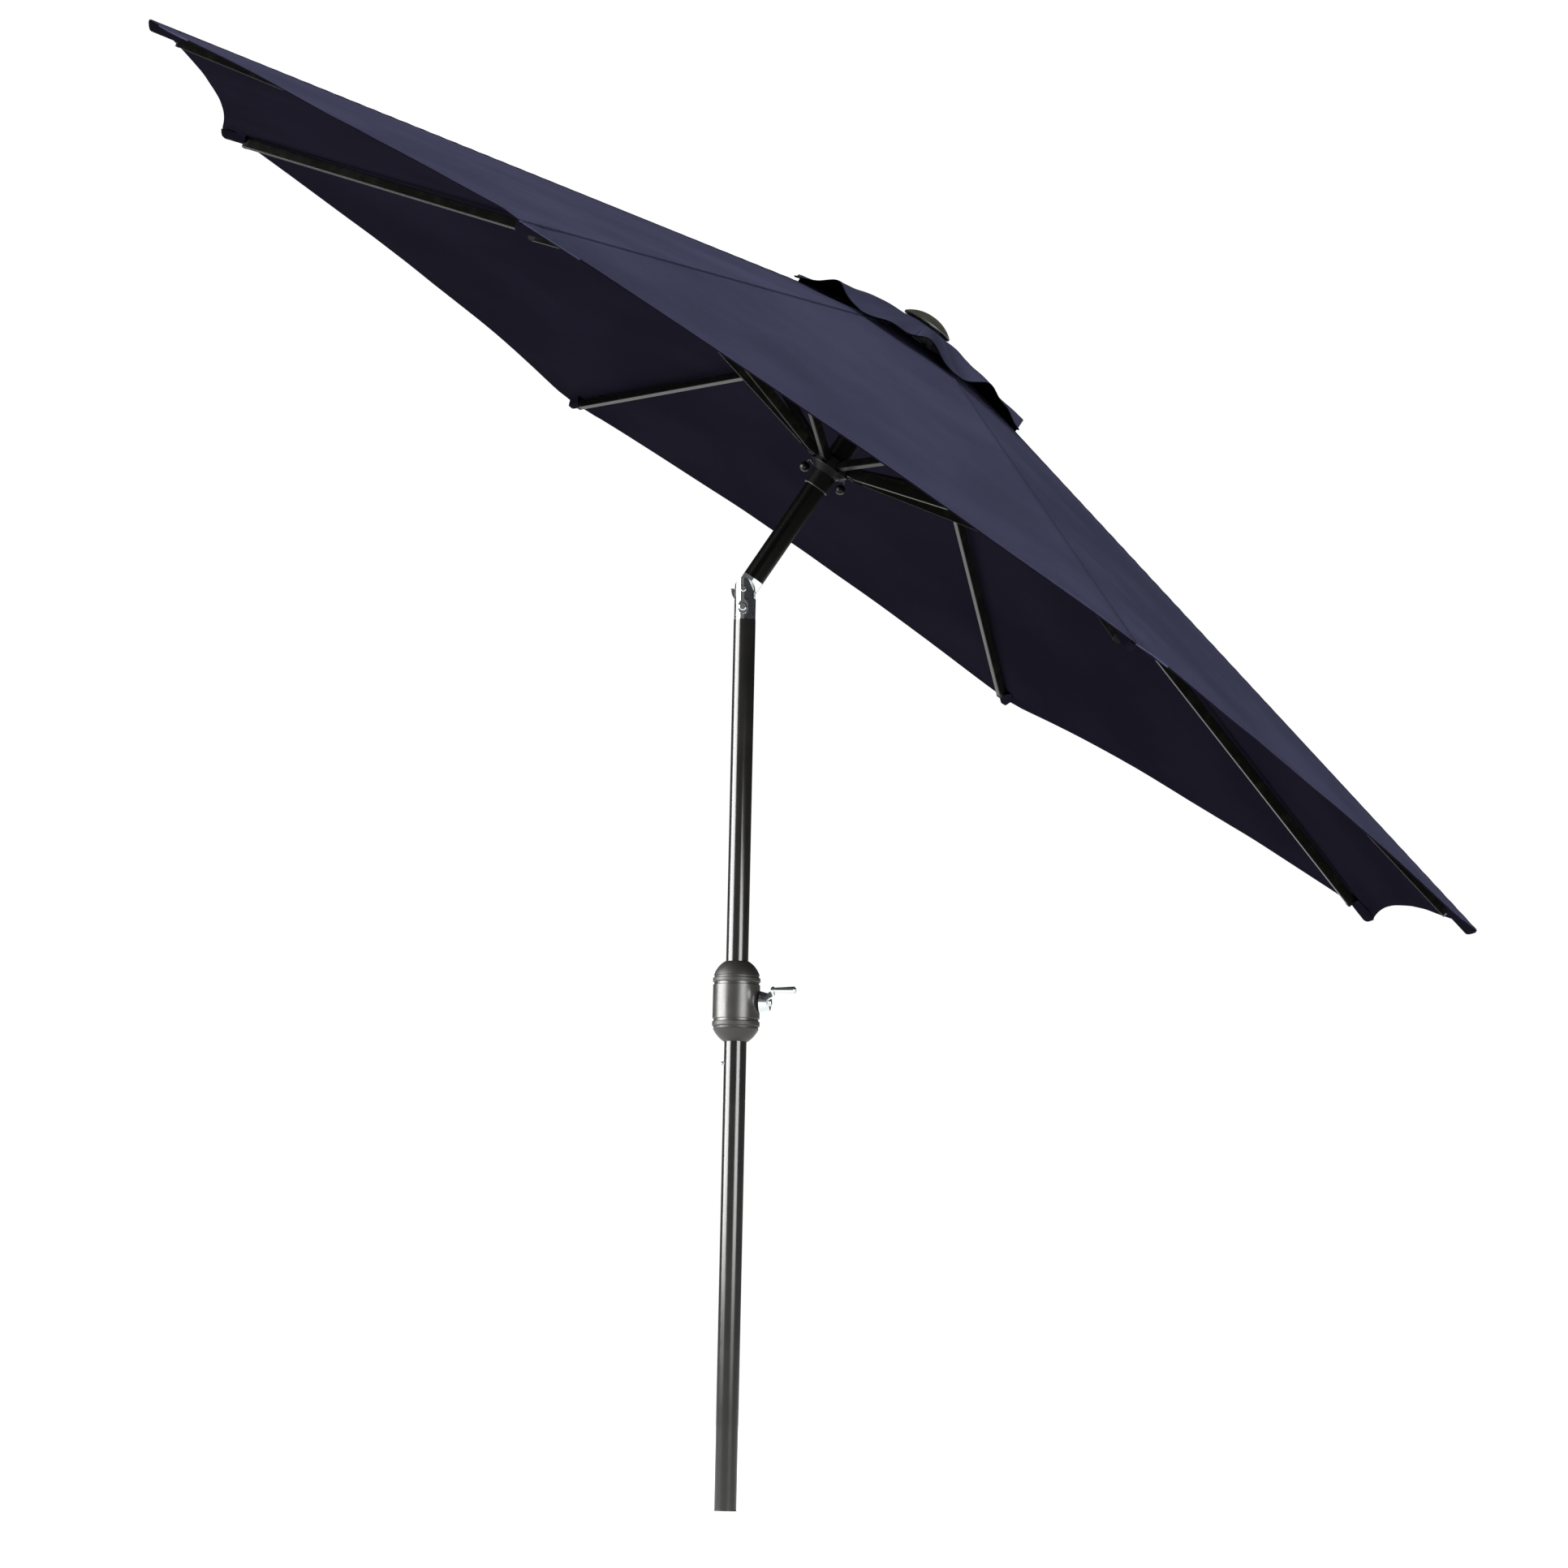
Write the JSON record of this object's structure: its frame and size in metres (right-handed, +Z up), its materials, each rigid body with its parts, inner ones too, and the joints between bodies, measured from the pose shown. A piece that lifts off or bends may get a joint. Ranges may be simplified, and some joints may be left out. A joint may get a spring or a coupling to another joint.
{
  "type": "patio umbrella",
  "caption": "Market umbrella with a crank lift, a push-button tilt joint, ribs and struts under a navy fabric canopy with a vent, and a bare pole foot for a base",
  "frame": {"origin": "centre of the pole's foot, where it stands in a base", "axes": "+Z up the pole, +X towards the side the canopy leans to and the crank stands on, +Y to the back"},
  "size_m": [2.302, 2.7694, 2.4988],
  "materials": {
    "pole_paint": "satin graphite powder coat on a drawn steel tube",
    "upper_pole_paint": "black semi-gloss powder coat",
    "housing_plastic": "graphite satin moulded plastic with polished grooves",
    "black_plastic": "black moulded nylon",
    "white_plastic": "natural acetal",
    "chrome": "bright chrome plate on zinc die casting",
    "dark_steel": "blackened steel",
    "steel": "zinc plated steel",
    "ball_plastic": "glossy black plastic ball",
    "finial_plastic": "dark olive grey moulded plastic",
    "cord": "braided polyester cord",
    "rib_paint": "grey-olive paint on steel tube",
    "canopy_fabric": "woven navy polyester, darker underneath"
  },
  "bodies": {
    "root": {"lower_pole": "pole_paint", "pole_end_cap": "black_plastic", "coupler_sleeve": "steel", "snap_spring": "steel", "middle_pole": "pole_paint", "housing_body": "housing_plastic", "housing_top_cap": "housing_plastic", "housing_bottom_cap": "housing_plastic", "housing_screws": "steel", "crank_bushes": "white_plastic", "tilt_clevis": "chrome", "tilt_pin": "chrome", "tilt_button_spring": "steel", "lift_cord_lower": "cord"},
    "snap_button": {"snap_button": "steel"},
    "crank": {"crank_shaft": "steel", "cord_spool": "white_plastic", "crank_arm": "chrome", "crank_screw": "chrome", "grip_pin": "chrome"},
    "crank_grip": {"crank_grip": "chrome"},
    "tilt_button": {"tilt_button": "chrome"},
    "head": {"tilt_tongue": "chrome", "ratchet_heel": "dark_steel", "upper_pole": "upper_pole_paint", "crown_hub": "black_plastic", "crown_pins": "steel", "finial": "finial_plastic", "vent_canopy": "canopy_fabric", "lift_cord_upper": "cord"},
    "crown_pulley": {"crown_pulley": "white_plastic"},
    "runner": {"runner_hub": "black_plastic", "runner_ring": "steel", "runner_pins": "steel", "hook_wires": "steel", "hook_balls": "ball_plastic"},
    "rib_1": {"rib_1": "rib_paint", "canopy_1": "canopy_fabric"},
    "strut_1": {"strut_1": "rib_paint"},
    "rib_2": {"rib_2": "rib_paint", "canopy_2": "canopy_fabric"},
    "strut_2": {"strut_2": "rib_paint"},
    "rib_3": {"rib_3": "rib_paint", "canopy_3": "canopy_fabric"},
    "strut_3": {"strut_3": "rib_paint"},
    "rib_4": {"rib_4": "rib_paint", "canopy_4": "canopy_fabric"},
    "strut_4": {"strut_4": "rib_paint"},
    "rib_5": {"rib_5": "rib_paint", "canopy_5": "canopy_fabric"},
    "strut_5": {"strut_5": "rib_paint"},
    "rib_6": {"rib_6": "rib_paint", "canopy_6": "canopy_fabric"},
    "strut_6": {"strut_6": "rib_paint"},
    "rib_7": {"rib_7": "rib_paint", "canopy_7": "canopy_fabric"},
    "strut_7": {"strut_7": "rib_paint"},
    "rib_8": {"rib_8": "rib_paint", "canopy_8": "canopy_fabric"},
    "strut_8": {"strut_8": "rib_paint"}
  },
  "joints": [
    {"name": "tilt", "type": "hinge", "parent": "root", "child": "head", "pos_m": [0, 0, 1.576], "axis": [0, 1, 0], "range_deg": [-33.8, 0]},
    {"name": "snap_press", "type": "slide", "parent": "root", "child": "snap_button", "axis": [1, 0, 0], "range_m": [0, 0.006], "stiffness_N_per_m": 500, "springref_m": -0.004, "deforming": ["snap_spring"]},
    {"name": "tilt_press", "type": "slide", "parent": "root", "child": "tilt_button", "axis": [0, 1, 0], "range_m": [0, 0.004], "stiffness_N_per_m": 800, "springref_m": -0.004, "deforming": ["tilt_button_spring"]},
    {"name": "crank_turn", "type": "hinge", "parent": "root", "child": "crank", "pos_m": [0, 0, 0.86], "axis": [1, 0, 0], "range_deg": [0, 1100]},
    {"name": "grip_spin", "type": "hinge", "parent": "crank", "child": "crank_grip", "pos_m": [0.09, -0.0451, 0.87642], "axis": [1, 0, 0], "continuous": true},
    {"name": "pulley_turn", "type": "hinge", "parent": "head", "child": "crown_pulley", "pos_m": [0.31976, 0.00252, 2.03403], "axis": [-0.1869, 0.9744, 0.1251], "range_deg": [0, 1040]},
    {"name": "canopy_fold", "type": "hinge", "parent": "head", "child": "rib_1", "pos_m": [0.30061, -0.00495, 1.97185], "axis": [0.1372, 0.9863, -0.0918], "range_deg": [0, 11.5], "deforming": ["canopy_1", "lift_cord_upper"]},
    {"name": "strut_1_fold", "type": "hinge", "parent": "rib_1", "child": "strut_1", "pos_m": [0.61834, -0.08185, 1.62038], "axis": [0.1372, 0.9863, -0.0918], "range_deg": [-23, 0]},
    {"name": "runner_travel", "type": "hinge", "parent": "strut_1", "child": "runner", "pos_m": [0.17231, -0.00495, 1.78021], "axis": [0.1372, 0.9863, -0.0918], "range_deg": [0, 11.5]},
    {"name": "rib_2_fold", "type": "hinge", "parent": "head", "child": "rib_2", "pos_m": [0.29631, 0.01742, 1.97473], "axis": [-0.4826, 0.8141, 0.323], "range_deg": [0, 11.5], "deforming": ["canopy_2"]},
    {"name": "strut_2_fold", "type": "hinge", "parent": "rib_2", "child": "strut_2", "pos_m": [0.54739, 0.288, 1.66788], "axis": [-0.4826, 0.8141, 0.323], "range_deg": [-23, 0]},
    {"name": "rib_3_fold", "type": "hinge", "parent": "head", "child": "rib_3", "pos_m": [0.28013, 0.02959, 1.98556], "axis": [-0.8196, 0.165, 0.5487], "range_deg": [0, 11.5], "deforming": ["canopy_3"]},
    {"name": "strut_3_fold", "type": "hinge", "parent": "rib_3", "child": "strut_3", "pos_m": [0.27989, 0.48914, 1.84696], "axis": [-0.8196, 0.165, 0.5487], "range_deg": [-23, 0]},
    {"name": "rib_4_fold", "type": "hinge", "parent": "head", "child": "rib_4", "pos_m": [0.26154, 0.02442, 1.998], "axis": [-0.6765, -0.5807, 0.4529], "range_deg": [0, 11.5], "deforming": ["canopy_4"]},
    {"name": "strut_4_fold", "type": "hinge", "parent": "rib_4", "child": "strut_4", "pos_m": [-0.02745, 0.40376, 2.0527], "axis": [-0.6765, -0.5807, 0.4529], "range_deg": [-23, 0]},
    {"name": "rib_5_fold", "type": "hinge", "parent": "head", "child": "rib_5", "pos_m": [0.25143, 0.00495, 2.00477], "axis": [-0.1372, -0.9863, 0.0918], "range_deg": [0, 11.5], "deforming": ["canopy_5"]},
    {"name": "strut_5_fold", "type": "hinge", "parent": "rib_5", "child": "strut_5", "pos_m": [-0.1946, 0.08185, 2.1646], "axis": [-0.1372, -0.9863, 0.0918], "range_deg": [-23, 0]},
    {"name": "rib_6_fold", "type": "hinge", "parent": "head", "child": "rib_6", "pos_m": [0.25572, -0.01742, 2.0019], "axis": [0.4826, -0.8141, -0.323], "range_deg": [0, 11.5], "deforming": ["canopy_6"]},
    {"name": "strut_6_fold", "type": "hinge", "parent": "rib_6", "child": "strut_6", "pos_m": [-0.12364, -0.288, 2.1171], "axis": [0.4826, -0.8141, -0.323], "range_deg": [-23, 0]},
    {"name": "rib_7_fold", "type": "hinge", "parent": "head", "child": "rib_7", "pos_m": [0.2719, -0.02959, 1.99107], "axis": [0.8196, -0.165, -0.5487], "range_deg": [0, 11.5], "deforming": ["canopy_7"]},
    {"name": "strut_7_fold", "type": "hinge", "parent": "rib_7", "child": "strut_7", "pos_m": [0.14385, -0.48914, 1.93803], "axis": [0.8196, -0.165, -0.5487], "range_deg": [-23, 0]},
    {"name": "rib_8_fold", "type": "hinge", "parent": "head", "child": "rib_8", "pos_m": [0.2905, -0.02442, 1.97862], "axis": [0.6765, 0.5807, -0.4529], "range_deg": [0, 11.5], "deforming": ["canopy_8"]},
    {"name": "strut_8_fold", "type": "hinge", "parent": "rib_8", "child": "strut_8", "pos_m": [0.45119, -0.40376, 1.73228], "axis": [0.6765, 0.5807, -0.4529], "range_deg": [-23, 0]}
  ],
  "couplings": [
    {"joint": "crank_turn", "follows": "canopy_fold", "ratio": 95},
    {"joint": "pulley_turn", "follows": "canopy_fold", "ratio": 90},
    {"joint": "strut_1_fold", "follows": "canopy_fold", "ratio": -2},
    {"joint": "runner_travel", "follows": "canopy_fold", "ratio": 1},
    {"joint": "rib_2_fold", "follows": "canopy_fold", "ratio": 1},
    {"joint": "strut_2_fold", "follows": "canopy_fold", "ratio": -2},
    {"joint": "rib_3_fold", "follows": "canopy_fold", "ratio": 1},
    {"joint": "strut_3_fold", "follows": "canopy_fold", "ratio": -2},
    {"joint": "rib_4_fold", "follows": "canopy_fold", "ratio": 1},
    {"joint": "strut_4_fold", "follows": "canopy_fold", "ratio": -2},
    {"joint": "rib_5_fold", "follows": "canopy_fold", "ratio": 1},
    {"joint": "strut_5_fold", "follows": "canopy_fold", "ratio": -2},
    {"joint": "rib_6_fold", "follows": "canopy_fold", "ratio": 1},
    {"joint": "strut_6_fold", "follows": "canopy_fold", "ratio": -2},
    {"joint": "rib_7_fold", "follows": "canopy_fold", "ratio": 1},
    {"joint": "strut_7_fold", "follows": "canopy_fold", "ratio": -2},
    {"joint": "rib_8_fold", "follows": "canopy_fold", "ratio": 1},
    {"joint": "strut_8_fold", "follows": "canopy_fold", "ratio": -2}
  ]
}
